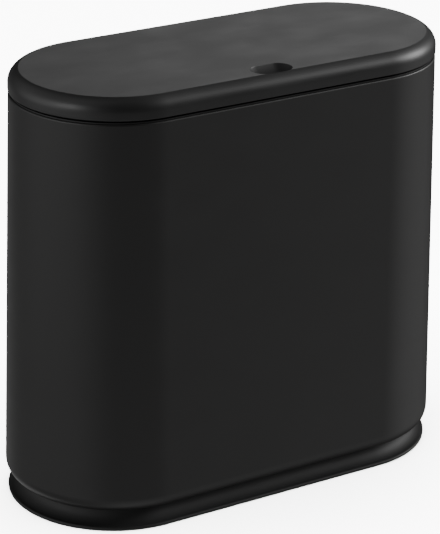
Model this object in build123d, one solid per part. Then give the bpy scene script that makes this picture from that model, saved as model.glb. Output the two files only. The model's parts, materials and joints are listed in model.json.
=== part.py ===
import os
from math import cos, radians, sin

from build123d import *

# Slim press-top waste bin. Millimetres, +Z up, origin on the floor under the middle of the bin.
# The plan is an oval: two half circles joined by straight sides. The length runs along X,
# the front faces -Y and the lid's hinge is at the back, +Y.
HALF_STRAIGHT = 89.0            # middle of the bin to the centre of a round end

# Sheet steel sleeve, wider at the foot than at the rim
RIM_RADIUS = 71.0
RIM_HEIGHT = 292.6
SLEEVE_FLARE = 5.8              # how much the radius grows down to the underside
SLEEVE_BOTTOM_ROUND = 11.0
SHEET = 1.2
HEM_DEPTH = 8.0                 # the rim is folded in over this depth
RIM_ROUND = 1.4
FLANGE_WIDTH = 6.8              # flat turned-in flange that the base clamps

# Foot moulding
FOOT_LIFT = 0.5                 # the rubber pads hold the lip this far off the floor
LIP_WIDTH = 1.4                 # ledge between the flare and the lip's edge
LIP_HEIGHT = 2.2
LIP_WALL = 3.0
FLARE_RADIUS = 9.0
NECK_INSET = 1.2                # the neck stands inside the sleeve's bottom round
NECK_HEIGHT = 1.3
NECK_WALL = 3.1
HOLLOW_BEND_OUT = 1.4           # the hollow's wall bends this far outside the neck
HOLLOW_BEND_UP = 3.5            # and this far above the lip's lower edge
FOOT_PLATE = 2.6
RIB_WIDTH = 2.0
RIB_CLEAR = 2.0                 # the ribs stop this far above the lip's lower edge
CROSS_RIB_X = 72.0
LONG_RIB_Y = 20.0
PAD_OUT = 15.0                  # pads beyond the centres of the round ends
PAD_INSET = 20.6                # and inside the neck
PAD_RADIUS = 7.0
PAD_THICKNESS = 2.1
PAD_FIT = 0.1
PAD_BOSS_WALL = 2.0

# Floor tray that clamps the sleeve's flange to the foot and centres the bucket
TRAY_PLUG_CLEAR = 0.6
TRAY_OVERLAP = 5.0              # how far the plate covers the flange
TRAY_PLATE = 2.2
TRAY_WALL = 2.0
TRAY_WALL_HEIGHT = 7.5
BASE_SCREW_OUT = 41.0           # end screws beyond the centres of the round ends
BASE_SCREW_X = 45.0
BASE_SCREW_INSET = 19.0         # side screws inside the flange
BASE_SCREW_RADIUS = 1.9
BASE_SCREW_HEAD_RADIUS = 3.6
BASE_SCREW_HEAD = 2.4
BASE_SCREW_BITE = 6.0
BASE_SCREW_BOSS_WALL = 2.3
BASE_SCREW_BOSS_CAP = 1.0

# Inner bucket
BUCKET_BELOW_LATCH = 4.0
BUCKET_RIM_ROOM = 6.8           # between the sleeve's folded rim and the bucket's wall
BUCKET_TAPER = 4.3              # how much narrower the foot is
BUCKET_WALL = 2.0
BUCKET_LIP = 1.6                # how far the rolled lip stands out
BUCKET_LIP_HEIGHT = 3.0
BUCKET_SEAT_GAP = 0.2
BUCKET_FOOT_RING = 5.9
BUCKET_SIDE_CLEAR = 0.8
BUCKET_INNER_BEND = 6.0
BUCKET_LIP_BEVEL = 0.8
BAIL_WIRE_RADIUS = 1.25
BAIL_WIRE_SIDES = 12
BAIL_BELOW_TOP = 6.0            # pivot below the bucket's top
BAIL_STAND_OFF = 2.0            # middle of the wire outside the bucket's lip
BAIL_BEND = 2.5
BAIL_INSIDE = 2.0               # the wire's end shows this far inside the bucket
BAIL_EAR_RADIUS = 5.0
BAIL_EAR_HEIGHT = 1.0           # ears stand this far out of the bucket's wall
RUNNING_FIT = 0.06

# Lid
LID_GAP = 2.4                   # open line between the rim and the lid
LID_OVERHANG = 0.2
LID_DEPTH = 14.4                # skirt's lower edge to the flat top
LID_EDGE_RADIUS = 10.4
LID_EDGE_TURN = 73.0            # the rounded edge stops short of flat and leaves a fine crease
LID_WALL = 2.3
DISH_LENGTH = 30.5
DISH_WIDTH = 18.4
DISH_DEPTH = 4.3
DISH_INSET = 15.8               # middle of the dish inside the lid's edge
LINER_ABOVE_LOW = 2.0           # liner's underside above the skirt's lower edge
LINER_THICKNESS = 2.0
LINER_SIDE_GAP = 2.4
LINER_BORDER = 22.5             # flat border round the sunk panel
LINER_PANEL_DEPTH = 0.7
LID_SCREW_OUT = 41.0            # end screws beyond the centres of the round ends
LID_SCREW_Y = 25.0
LID_SCREW_BACK = 18.5           # back screw inside the liner's edge
LID_SCREW_RADIUS = 1.2
LID_SCREW_HEAD_RADIUS = 2.6
LID_SCREW_HEAD = 1.2
LID_SCREW_BITE = 6.0
LID_BOSS_RADIUS = 3.2
BUMPER_RADIUS = 3.0
BUMPER_THICKNESS = 1.7
BUMPER_INSET = 11.0             # the bumpers stand over the middle of the deck

# Top frame in the sleeve's mouth
FRAME_FIT = 0.3                 # sliding gap inside the folded rim
FRAME_WALL = 2.2
FRAME_DROP = 18.6               # skirt below the rim
FRAME_SHOULDER = 1.0            # how far the shoulder rests over the rim
SHOULDER_THICKNESS = 0.8
DECK_THICKNESS = 2.7
MOUTH_BEHIND_LATCH = 2.4        # between the mouth's wall and the latch's case
MOUTH_WALL = 2.0
MOUTH_DROP = 16.6
MOUTH_ROUND = 2.0

# Hinges: frame ear, lid lug, spring and second ear side by side on one pin
HINGE_X = 45.0
HINGE_INSET = 2.8               # pin's axis inside the rim
HINGE_ABOVE_LOW = 2.8           # pin's axis above the skirt's lower edge
PIN_RADIUS = 1.5
KNUCKLE_RADIUS = 2.6
EAR_WIDTH = 4.0
LUG_WIDTH = 8.0
SIDE_PLAY = 0.3
EAR_DEPTH = 3.7                 # from the pin's axis forwards
LUG_DEPTH = 6.2
HINGE_WINDOW = 1.4              # room round the hinge in the lid's skirt and liner
WINDOW_HEIGHT = 6.4
LINER_NOTCH_DEPTH = 4.7

# Torsion springs
SPRING_WIRE = 0.35              # wire radius
SPRING_RADIUS = 2.25
SPRING_TURNS = 3.5
SPRING_PITCH = 1.8
SPRING_LEG = 7.0
SPRING_SEAT_AHEAD = 8.2         # block on the deck under the lower leg
SPRING_SEAT_DEPTH = 4.4
SPRING_SEAT_WIDTH = 3.0
SPRING_SIDE_GAP = 0.7
SPRING_RIB_WIDTH = 4.0
SPRING_RIB_DEPTH = 4.0
SPRING_SEAT_GAP = 0.1

# Push latch in the front of the frame
LATCH_INSET = 11.0              # middle of the latch inside the rim
CASE_HALF_WIDTH = 10.5
CASE_HALF_DEPTH = 5.6
CASE_WALL = 1.6
CASE_HEIGHT = 28.7
CASE_FLANGE = 1.8
CASE_EAR = 6.0                  # screw flange beyond each side
CASE_SCREW_OUT = 3.1
CASE_SCREW_RADIUS = 1.1
CASE_SCREW_HEAD_RADIUS = 2.2
CASE_SCREW_HEAD = 1.4
CASE_SCREW_BITE = 2.2
SLIDE_FIT = 0.2
CARRIAGE_ABOVE_FLOOR = 9.2      # room for the pressed latch spring
CARRIAGE_HEIGHT = 3.2
CHEEK_WIDTH = 1.2
CHEEK_HEIGHT = 3.8
CHEEK_HALF_LENGTH = 6.2
SPIGOT_RADIUS = 2.2
SPIGOT_HEIGHT = 2.4
LATCH_SPRING_RADIUS = 2.9
LATCH_SPRING_TURNS = 3
JAW_X = 4.2
JAW_PIVOT_ABOVE = 2.1           # pivot above the carriage
JAW_BARREL = 1.7
JAW_HEIGHT = 8.0
JAW_ARM = 1.5
JAW_HOOK_X = 2.6
JAW_HOOK_HEIGHT = 1.8
JAW_SIDE_PLAY = 0.2
JAW_PIN_RADIUS = 0.9
JAW_PIN_PLAY = 0.2

# Striker under the lid
STRIKER_HALF_WIDTH = 11.0
STRIKER_HALF_DEPTH = 4.5
STRIKER_PLATE = 2.0             # the screw heads are sunk flush into it
STRIKER_STEM_X = 1.3
STRIKER_STEM_Y = 2.0
STRIKER_HEAD_X = 2.3
STRIKER_TIP_X = 0.8
STRIKER_HEAD_HEIGHT = 4.0
STRIKER_DIP = 4.6               # tip below the jaws' tops
STRIKER_SCREW_X = 8.0
STRIKER_SCREW_RADIUS = 1.0
STRIKER_SCREW_HEAD_RADIUS = 1.9
STRIKER_SCREW_HEAD = 1.1
STRIKER_SCREW_BITE = 3.6
STRIKER_BOSS_RADIUS = 2.8
STRIKER_HOLE_HALF_WIDTH = 6.0
STRIKER_HOLE_HALF_DEPTH = 3.5
THREAD_FIT = 0.05

# Heights and radii that follow from the sizes above
HEM_INNER_RADIUS = RIM_RADIUS - 2 * SHEET
SLEEVE_FOOT_RADIUS = RIM_RADIUS + SLEEVE_FLARE
SLEEVE_UNDERSIDE = FOOT_LIFT + LIP_HEIGHT + FLARE_RADIUS + NECK_HEIGHT
FLANGE_OUTER_RADIUS = SLEEVE_FOOT_RADIUS - SLEEVE_BOTTOM_ROUND
FLANGE_INNER_RADIUS = FLANGE_OUTER_RADIUS - FLANGE_WIDTH
FLANGE_TOP = SLEEVE_UNDERSIDE + SHEET
NECK_RADIUS = FLANGE_OUTER_RADIUS - NECK_INSET
LIP_RADIUS = NECK_RADIUS + FLARE_RADIUS + LIP_WIDTH
FOOT_PLATE_LOW = SLEEVE_UNDERSIDE - FOOT_PLATE
TRAY_TOP = FLANGE_TOP + TRAY_PLATE
BUCKET_FOOT = TRAY_TOP + BUCKET_SEAT_GAP
BUCKET_FLOOR_LOW = BUCKET_FOOT + BUCKET_FOOT_RING
BUCKET_TOP_RADIUS = HEM_INNER_RADIUS - BUCKET_RIM_ROOM
BUCKET_FOOT_RADIUS = BUCKET_TOP_RADIUS - BUCKET_TAPER
LID_LOW = RIM_HEIGHT + LID_GAP
LID_TOP = LID_LOW + LID_DEPTH
LID_RADIUS = RIM_RADIUS + LID_OVERHANG
LID_INNER_RADIUS = LID_RADIUS - LID_WALL
LINER_RADIUS = LID_INNER_RADIUS - LINER_SIDE_GAP
LINER_LOW = LID_LOW + LINER_ABOVE_LOW
LINER_HIGH = LINER_LOW + LINER_THICKNESS
FRAME_RADIUS = HEM_INNER_RADIUS - FRAME_FIT
HINGE_Y = RIM_RADIUS - HINGE_INSET
HINGE_Z = LID_LOW + HINGE_ABOVE_LOW
SPRING_LENGTH = SPRING_PITCH * SPRING_TURNS
PIN_LENGTH = 2 * EAR_WIDTH + SIDE_PLAY + LUG_WIDTH + 2 * SPRING_SIDE_GAP + SPRING_LENGTH
LATCH_Y = LATCH_INSET - RIM_RADIUS
MOUTH_RADIUS = -LATCH_Y - CASE_HALF_DEPTH - MOUTH_BEHIND_LATCH - MOUTH_WALL
DECK_TOP = RIM_HEIGHT + SHOULDER_THICKNESS
DECK_LOW = DECK_TOP - DECK_THICKNESS
CASE_LOW = DECK_LOW - CASE_HEIGHT
CASE_FLOOR = CASE_LOW + CASE_WALL
CASE_SCREW_X = CASE_HALF_WIDTH + CASE_SCREW_OUT
BUCKET_TOP = CASE_LOW - BUCKET_BELOW_LATCH
BAIL_HEIGHT = BUCKET_TOP - BAIL_BELOW_TOP
CARRIAGE_LOW = CASE_FLOOR + CARRIAGE_ABOVE_FLOOR
CARRIAGE_TOP = CARRIAGE_LOW + CARRIAGE_HEIGHT
JAW_PIVOT_Z = CARRIAGE_TOP + JAW_PIVOT_ABOVE
CARRIAGE_HALF_DEPTH = CASE_HALF_DEPTH - CASE_WALL - SLIDE_FIT
DISH_BALL = ((DISH_WIDTH / 2) ** 2 + DISH_DEPTH ** 2) / (2 * DISH_DEPTH)

LOW = (Align.CENTER, Align.CENTER, Align.MIN)
CORNER = (Align.MIN, Align.MIN, Align.MIN)


def sleeve_radius(height):
    """Outside radius of the sleeve's round ends at a height."""
    return RIM_RADIUS + SLEEVE_FLARE * (RIM_HEIGHT - height) / (RIM_HEIGHT - SLEEVE_UNDERSIDE)


def section(corners, rounds=()):
    """Half section through (radius, height) corners; rounds lists (corner number, radius)."""
    face = make_face(Polyline(*corners, close=True))
    for number, radius in rounds:
        corner = face.vertices().sort_by_distance(corners[number])[0]
        face = fillet(corner, radius)
    return Plane.XZ * face


def flats(centre, radius, start, end, steps=2):
    """Points of a bend drawn as flats, from one angle to another, in degrees."""
    angles = [radians(start + (end - start) * step / steps) for step in range(steps + 1)]
    return [(centre[0] + radius * cos(angle), centre[1] + radius * sin(angle)) for angle in angles]


def around(half_section):
    """Carry a half section once round the oval plan."""
    front = Rot(0, 0, -90) * half_section
    back = Rot(0, 0, 90) * half_section
    right_end = revolve(Pos(HALF_STRAIGHT, 0, 0) * front, Axis((HALF_STRAIGHT, 0, 0), (0, 0, 1)), 180)
    left_end = revolve(Pos(-HALF_STRAIGHT, 0, 0) * back, Axis((-HALF_STRAIGHT, 0, 0), (0, 0, 1)), 180)
    sides = [extrude(Pos(-HALF_STRAIGHT, 0, 0) * side, 2 * HALF_STRAIGHT, dir=(1, 0, 0))
             for side in (front, back)]
    return Part() + [right_end, left_end] + sides


def block(x, y, z):
    """Box between a low and a high limit on each axis."""
    return Pos(x[0], y[0], z[0]) * Box(x[1] - x[0], y[1] - y[0], z[1] - z[0], align=CORNER)


def post(x, y, radius, low, high):
    """Upright cylinder between two heights."""
    return Pos(x, y, low) * Cylinder(radius, high - low, align=LOW)


def rod_x(start, end, y, z, radius):
    """Cylinder along X."""
    return Pos(start, y, z) * Rot(0, 90, 0) * Cylinder(radius, end - start, align=LOW)


def rod_y(start, end, x, z, radius):
    """Cylinder along Y."""
    return Pos(x, start, z) * Rot(-90, 0, 0) * Cylinder(radius, end - start, align=LOW)


def screw_up(x, y, seat, bite, radius, head_radius, head):
    """Screw driven upwards: its head hangs under the seat."""
    return post(x, y, head_radius, seat - head, seat) + post(x, y, radius, seat, seat + bite)


def both_sides(right):
    """A piece of the right half and its mirror image."""
    return [right, mirror(right, about=Plane.YZ)]


def outer_sleeve():
    hem_low = RIM_HEIGHT - HEM_DEPTH
    bend = SLEEVE_BOTTOM_ROUND - SHEET
    inside = flats((sleeve_radius(FLANGE_TOP + bend) - SHEET - bend, FLANGE_TOP + bend), bend, 0, -90)
    corners = [
        (FLANGE_INNER_RADIUS, SLEEVE_UNDERSIDE),
        (SLEEVE_FOOT_RADIUS, SLEEVE_UNDERSIDE),
        (RIM_RADIUS, RIM_HEIGHT),
        (HEM_INNER_RADIUS, RIM_HEIGHT),
        (HEM_INNER_RADIUS, hem_low),
        (sleeve_radius(hem_low) - SHEET, hem_low),
    ] + inside + [(FLANGE_INNER_RADIUS, FLANGE_TOP)]
    return around(section(corners, [(1, SLEEVE_BOTTOM_ROUND), (2, RIM_ROUND)]))


def base_foot():
    lip_top = FOOT_LIFT + LIP_HEIGHT
    flare = JernArc((NECK_RADIUS, lip_top + FLARE_RADIUS), (0, -1), FLARE_RADIUS, 90)
    outline = flare + Polyline(
        flare @ 1, (LIP_RADIUS, lip_top), (LIP_RADIUS, FOOT_LIFT), (0, FOOT_LIFT),
        (0, SLEEVE_UNDERSIDE), (NECK_RADIUS, SLEEVE_UNDERSIDE), flare @ 0,
    )
    wall = [(NECK_RADIUS - NECK_WALL, FOOT_PLATE_LOW),
            (NECK_RADIUS + HOLLOW_BEND_OUT, FOOT_LIFT + HOLLOW_BEND_UP), (LIP_RADIUS - LIP_WALL, FOOT_LIFT)]
    hollow = around(section([(0, FOOT_LIFT), (0, FOOT_PLATE_LOW)] + wall))
    rib_low = FOOT_LIFT + RIB_CLEAR
    length = HALF_STRAIGHT + LIP_RADIUS
    half = RIB_WIDTH / 2
    height = (rib_low, FOOT_PLATE_LOW)
    ribs = [block((x - half, x + half), (-LIP_RADIUS, LIP_RADIUS), height) for x in (-CROSS_RIB_X, 0, CROSS_RIB_X)]
    ribs += [block((-length, length), (y - half, y + half), height) for y in (-LONG_RIB_Y, LONG_RIB_Y)]
    pocket = PAD_RADIUS + PAD_FIT
    bosses = [post(x, y, pocket + PAD_BOSS_WALL, FOOT_LIFT, FOOT_PLATE_LOW) for x, y in pad_spots()]
    body = around(Plane.XZ * make_face(outline)) - hollow
    body += (Part() + ribs) & hollow
    body += bosses
    pockets = [post(x, y, pocket, FOOT_LIFT, PAD_THICKNESS) for x, y in pad_spots()]
    holes = [post(x, y, BASE_SCREW_RADIUS + THREAD_FIT, FOOT_PLATE_LOW, SLEEVE_UNDERSIDE)
             for x, y in base_screw_spots()]
    return body - pockets - holes


def quarters(x, y):
    """The same spot in all four quarters of the plan."""
    return [(sign_x * x, sign_y * y) for sign_x in (-1, 1) for sign_y in (-1, 1)]


def pad_spots():
    return quarters(HALF_STRAIGHT + PAD_OUT, NECK_RADIUS - PAD_INSET)


def base_screw_spots():
    end = HALF_STRAIGHT + BASE_SCREW_OUT
    return [(end, 0), (-end, 0)] + quarters(BASE_SCREW_X, FLANGE_INNER_RADIUS - BASE_SCREW_INSET)


def foot_pads():
    return [post(x, y, PAD_RADIUS, 0, PAD_THICKNESS) for x, y in pad_spots()]


def floor_tray():
    plug = FLANGE_INNER_RADIUS - TRAY_PLUG_CLEAR
    edge = FLANGE_INNER_RADIUS + TRAY_OVERLAP
    wall_inner = BUCKET_FOOT_RADIUS + BUCKET_SIDE_CLEAR
    wall_top = TRAY_TOP + TRAY_WALL_HEIGHT
    body = around(section([
        (0, SLEEVE_UNDERSIDE), (plug, SLEEVE_UNDERSIDE), (plug, FLANGE_TOP), (edge, FLANGE_TOP),
        (edge, TRAY_TOP), (wall_inner + TRAY_WALL, TRAY_TOP), (wall_inner + TRAY_WALL, wall_top),
        (wall_inner, wall_top), (wall_inner, TRAY_TOP), (0, TRAY_TOP),
    ]))
    hole = BASE_SCREW_RADIUS + THREAD_FIT
    hole_top = FOOT_PLATE_LOW + FOOT_PLATE + BASE_SCREW_BITE + BASE_SCREW_BOSS_CAP / 2
    for x, y in base_screw_spots():
        body += post(x, y, hole + BASE_SCREW_BOSS_WALL, TRAY_TOP, hole_top + BASE_SCREW_BOSS_CAP)
    return body - [post(x, y, hole, SLEEVE_UNDERSIDE, hole_top) for x, y in base_screw_spots()]


def base_screws():
    return [screw_up(x, y, FOOT_PLATE_LOW, FOOT_PLATE + BASE_SCREW_BITE, BASE_SCREW_RADIUS,
                     BASE_SCREW_HEAD_RADIUS, BASE_SCREW_HEAD) for x, y in base_screw_spots()]


def inner_bucket():
    floor_top = BUCKET_FLOOR_LOW + BUCKET_WALL
    lip_low = BUCKET_TOP - BUCKET_LIP_HEIGHT
    lip = BUCKET_TOP_RADIUS + BUCKET_LIP
    foot_inner = BUCKET_FOOT_RADIUS - BUCKET_WALL
    bend = BUCKET_INNER_BEND
    corners = [
        (foot_inner, BUCKET_FOOT), (BUCKET_FOOT_RADIUS, BUCKET_FOOT), (BUCKET_TOP_RADIUS, lip_low),
        (lip, lip_low), (lip, BUCKET_TOP - BUCKET_LIP_BEVEL), (lip - BUCKET_LIP_BEVEL, BUCKET_TOP),
        (BUCKET_TOP_RADIUS - BUCKET_WALL, BUCKET_TOP),
    ] + flats((foot_inner - bend, floor_top + bend), bend, 0, -90) + [
        (0, floor_top), (0, BUCKET_FLOOR_LOW), (foot_inner, BUCKET_FLOOR_LOW),
    ]
    body = around(section(corners))
    wall_end = HALF_STRAIGHT + BUCKET_TOP_RADIUS
    ear = rod_x(wall_end - BUCKET_WALL, wall_end + BAIL_EAR_HEIGHT, 0, BAIL_HEIGHT, BAIL_EAR_RADIUS)
    ear &= block((HALF_STRAIGHT, wall_end + BUCKET_LIP), (-BAIL_EAR_RADIUS, BAIL_EAR_RADIUS), (0, lip_low))
    body += both_sides(ear)
    hole = BAIL_WIRE_RADIUS + RUNNING_FIT
    return body - both_sides(rod_x(HALF_STRAIGHT, wall_end + BUCKET_LIP, 0, BAIL_HEIGHT, hole))


def bucket_handle():
    """Wire bail that lies round the back of the bucket and hooks into both ends."""
    inside = HALF_STRAIGHT + BUCKET_TOP_RADIUS - BUCKET_WALL - BAIL_INSIDE
    radius = BUCKET_TOP_RADIUS + BUCKET_LIP + BAIL_STAND_OFF
    turn = HALF_STRAIGHT + radius - BAIL_BEND
    end = Line((inside, 0), (turn, 0))
    bend = JernArc(end @ 1, (1, 0), BAIL_BEND, 90)
    sweep_round = JernArc(bend @ 1, (0, 1), radius - BAIL_BEND, 90)
    straight = Line(sweep_round @ 1, (0, radius))
    path = Pos(0, 0, BAIL_HEIGHT) * (end + bend + sweep_round + straight)
    wire = RegularPolygon(BAIL_WIRE_RADIUS, BAIL_WIRE_SIDES)
    profile = Plane(origin=(inside, 0, BAIL_HEIGHT), z_dir=(1, 0, 0)) * wire
    half = sweep(profile, path.wire())
    return Part() + both_sides(half)


def top_frame():
    skirt_inner = FRAME_RADIUS - FRAME_WALL
    skirt_low = RIM_HEIGHT - FRAME_DROP
    shoulder = HEM_INNER_RADIUS + FRAME_SHOULDER
    mouth_low = RIM_HEIGHT - MOUTH_DROP
    corners = [
        (FRAME_RADIUS, skirt_low), (FRAME_RADIUS, RIM_HEIGHT), (shoulder, RIM_HEIGHT), (shoulder, DECK_TOP),
        (MOUTH_RADIUS, DECK_TOP), (MOUTH_RADIUS, mouth_low), (MOUTH_RADIUS + MOUTH_WALL, mouth_low),
        (MOUTH_RADIUS + MOUTH_WALL, DECK_LOW), (skirt_inner, DECK_LOW), (skirt_inner, skirt_low),
    ]
    body = around(section(corners, [(4, MOUTH_ROUND)]))
    body += hinge_ears()
    body += both_sides(spring_seat())
    body -= hinge_bores(PIN_RADIUS + THREAD_FIT)
    depth = (LATCH_Y - STRIKER_HOLE_HALF_DEPTH, LATCH_Y + STRIKER_HOLE_HALF_DEPTH)
    body -= block((-STRIKER_HOLE_HALF_WIDTH, STRIKER_HOLE_HALF_WIDTH), depth, (DECK_LOW, DECK_TOP))
    holes = [post(x, LATCH_Y, CASE_SCREW_RADIUS + THREAD_FIT, DECK_LOW, DECK_LOW + CASE_SCREW_BITE)
             for x in (-CASE_SCREW_X, CASE_SCREW_X)]
    return body - holes


def hinge_ears():
    """Two ears a side that stand on the deck and hold the pin's ends."""
    ring = Pos(HINGE_Y, HINGE_Z) * Circle(KNUCKLE_RADIUS)
    base = Line((HINGE_Y - EAR_DEPTH, RIM_HEIGHT), (FRAME_RADIUS, RIM_HEIGHT))
    profile = Plane.YZ * make_hull(ring.edges() + base.edges())
    starts = (HINGE_X - PIN_LENGTH / 2, HINGE_X + PIN_LENGTH / 2 - EAR_WIDTH)
    ears = [extrude(Pos(x, 0, 0) * profile, EAR_WIDTH, dir=(1, 0, 0)) for x in starts]
    return [piece for ear in ears for piece in both_sides(ear)]


def hinge_bores(radius):
    reach = PIN_LENGTH / 2
    return both_sides(rod_x(HINGE_X - reach, HINGE_X + reach, HINGE_Y, HINGE_Z, radius))


def hinge_pins():
    return hinge_bores(PIN_RADIUS)


def lug_start():
    return HINGE_X - PIN_LENGTH / 2 + EAR_WIDTH + SIDE_PLAY


def spring_start():
    return lug_start() + LUG_WIDTH + SPRING_SIDE_GAP


def spring_seat():
    """Block on the deck that the right spring's lower leg presses on."""
    x = spring_start()
    front = HINGE_Y - SPRING_SEAT_AHEAD
    top = HINGE_Z - SPRING_RADIUS - SPRING_WIRE - SPRING_SEAT_GAP
    return block((x - SPRING_SEAT_WIDTH / 2, x + SPRING_SEAT_WIDTH / 2),
                 (front, front + SPRING_SEAT_DEPTH), (DECK_LOW, top))


def coil_path(radius, pitch, half_turns):
    """Coil about +Z as half-turn arcs, each tilted by a quarter of the pitch a side."""
    arcs = []
    for turn in range(half_turns):
        side = radius if turn % 2 == 0 else -radius
        low = turn * pitch / 2
        arcs.append(ThreePointArc((side, 0, low), (0, side, low + pitch / 4), (-side, 0, low + pitch / 2)))
    return Wire([arc.edge() for arc in arcs])


def wire_along(path, radius):
    """Six-sided spring wire along a path."""
    return sweep(Plane(origin=path @ 0, z_dir=path % 0) * RegularPolygon(radius, 6), path)


def lid_spring():
    """Torsion spring beside the right lug: one leg on the frame, the other under the lid."""
    place = Plane(origin=(spring_start(), HINGE_Y, HINGE_Z), x_dir=(0, 0, -1), z_dir=(1, 0, 0))
    path = place * coil_path(SPRING_RADIUS, SPRING_PITCH, round(2 * SPRING_TURNS))
    lower_leg = Line(path @ 0 - (path % 0) * SPRING_LEG, path @ 0).edge()
    upper_leg = Line(path @ 1, path @ 1 + (path % 1) * SPRING_LEG).edge()
    return wire_along(Wire([lower_leg] + list(path.edges()) + [upper_leg]), SPRING_WIRE)


def case_hollow(low, high):
    half_width = CASE_HALF_WIDTH - CASE_WALL
    half_depth = CASE_HALF_DEPTH - CASE_WALL
    return block((-half_width, half_width), (LATCH_Y - half_depth, LATCH_Y + half_depth), (low, high))


def latch_case():
    flange_low = DECK_LOW - CASE_FLANGE
    depth = (LATCH_Y - CASE_HALF_DEPTH, LATCH_Y + CASE_HALF_DEPTH)
    body = block((-CASE_HALF_WIDTH, CASE_HALF_WIDTH), depth, (CASE_LOW, DECK_LOW))
    body = fillet(body.edges().filter_by(Axis.Z), CASE_WALL)
    reach = CASE_HALF_WIDTH + CASE_EAR
    body += block((-reach, reach), depth, (flange_low, DECK_LOW))
    body -= case_hollow(CASE_FLOOR, DECK_LOW)
    body += post(0, LATCH_Y, SPIGOT_RADIUS, CASE_FLOOR, CASE_FLOOR + SPIGOT_HEIGHT)
    return body - [post(x, LATCH_Y, CASE_SCREW_RADIUS + THREAD_FIT, flange_low, DECK_LOW)
                   for x in (-CASE_SCREW_X, CASE_SCREW_X)]


def latch_case_screws():
    bite = CASE_FLANGE + CASE_SCREW_BITE - THREAD_FIT
    return [screw_up(x, LATCH_Y, DECK_LOW - CASE_FLANGE, bite, CASE_SCREW_RADIUS,
                     CASE_SCREW_HEAD_RADIUS, CASE_SCREW_HEAD) for x in (-CASE_SCREW_X, CASE_SCREW_X)]


def latch_spring():
    """Coil spring between the case's floor and the carriage."""
    height = CARRIAGE_ABOVE_FLOOR - 2 * SPRING_WIRE - 2 * SPRING_SEAT_GAP
    path = Pos(0, LATCH_Y, CASE_FLOOR + SPRING_WIRE + SPRING_SEAT_GAP) * coil_path(
        LATCH_SPRING_RADIUS, height / LATCH_SPRING_TURNS, 2 * LATCH_SPRING_TURNS)
    return wire_along(path, SPRING_WIRE)


def latch_carriage():
    """Sliding carriage with two cheeks that hold the jaws' pins."""
    half_width = CASE_HALF_WIDTH - CASE_WALL - SLIDE_FIT
    half_depth = CARRIAGE_HALF_DEPTH
    body = block((-half_width, half_width), (LATCH_Y - half_depth, LATCH_Y + half_depth),
                 (CARRIAGE_LOW, CARRIAGE_TOP))
    body += post(0, LATCH_Y, SPIGOT_RADIUS, CARRIAGE_LOW - SPIGOT_HEIGHT, CARRIAGE_LOW)
    for outer in (-half_depth, half_depth):
        inner = outer * (1 - CHEEK_WIDTH / half_depth)
        depth = sorted((LATCH_Y + outer, LATCH_Y + inner))
        body += block((-CHEEK_HALF_LENGTH, CHEEK_HALF_LENGTH), depth, (CARRIAGE_TOP, CARRIAGE_TOP + CHEEK_HEIGHT))
    return body - jaw_rods(half_depth, JAW_PIN_RADIUS + THREAD_FIT)


def jaw_rods(half_length, radius):
    start = LATCH_Y - half_length
    return [rod_y(start, start + 2 * half_length, x, JAW_PIVOT_Z, radius) for x in (-JAW_X, JAW_X)]


def jaw_pins():
    return jaw_rods(CARRIAGE_HALF_DEPTH - JAW_PIN_PLAY, JAW_PIN_RADIUS)


def jaw_right():
    """Lever with a hooked tip that closes beside the striker's neck."""
    half_depth = CARRIAGE_HALF_DEPTH - CHEEK_WIDTH - JAW_SIDE_PLAY
    top = JAW_PIVOT_Z + JAW_HEIGHT
    outer = JAW_X + JAW_ARM
    profile = make_face(Polyline(
        (JAW_X, JAW_PIVOT_Z), (outer, JAW_PIVOT_Z), (outer, top), (JAW_HOOK_X, top - JAW_HOOK_HEIGHT / 2),
        (JAW_HOOK_X, top - JAW_HOOK_HEIGHT), (JAW_X, top - 2 * JAW_HOOK_HEIGHT), close=True))
    arm = extrude(Pos(0, LATCH_Y + half_depth, 0) * (Plane.XZ * profile), 2 * half_depth, dir=(0, -1, 0))
    body = arm + rod_y(LATCH_Y - half_depth, LATCH_Y + half_depth, JAW_X, JAW_PIVOT_Z, JAW_BARREL)
    return body - rod_y(LATCH_Y - half_depth, LATCH_Y + half_depth, JAW_X, JAW_PIVOT_Z,
                        JAW_PIN_RADIUS + RUNNING_FIT)


def lid_cavity():
    bend = LID_EDGE_RADIUS - LID_WALL
    inner_top = LID_TOP - LID_WALL
    inside = flats((LID_INNER_RADIUS - bend, inner_top - bend), bend, 0, 90)
    return around(section([(0, LID_LOW), (LID_INNER_RADIUS, LID_LOW)] + inside + [(0, inner_top)]))


def dish(radius):
    """Rod with ball ends, sunk along X into the lid's top by the press dish's depth."""
    spacing = DISH_LENGTH - DISH_WIDTH
    body = rod_x(-spacing / 2, spacing / 2, 0, 0, radius)
    body += [Pos(x, 0, 0) * Sphere(radius) for x in (-spacing / 2, spacing / 2)]
    return Pos(0, DISH_INSET - LID_RADIUS, LID_TOP - DISH_DEPTH + DISH_BALL) * body


def hinge_window(front, low, high):
    """Room for the right hinge, cut from the front limit backwards."""
    reach = PIN_LENGTH / 2 + HINGE_WINDOW
    return block((HINGE_X - reach, HINGE_X + reach), (front, front + RIM_RADIUS), (low, high))


def spring_rib():
    """Rib under the lid that the right spring's upper leg lifts."""
    x = spring_start() + SPRING_LENGTH
    y = HINGE_Y - LUG_DEPTH
    leg_top = HINGE_Z + SPRING_RADIUS + SPRING_WIRE + SPRING_SEAT_GAP
    return block((x - SPRING_RIB_WIDTH / 2, x + SPRING_RIB_WIDTH / 2),
                 (y - SPRING_RIB_DEPTH / 2, y + SPRING_RIB_DEPTH / 2), (leg_top, LID_TOP - LID_WALL))


def lid_screw_spots():
    return quarters(HALF_STRAIGHT + LID_SCREW_OUT, LID_SCREW_Y) + [(0, LINER_RADIUS - LID_SCREW_BACK)]


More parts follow.
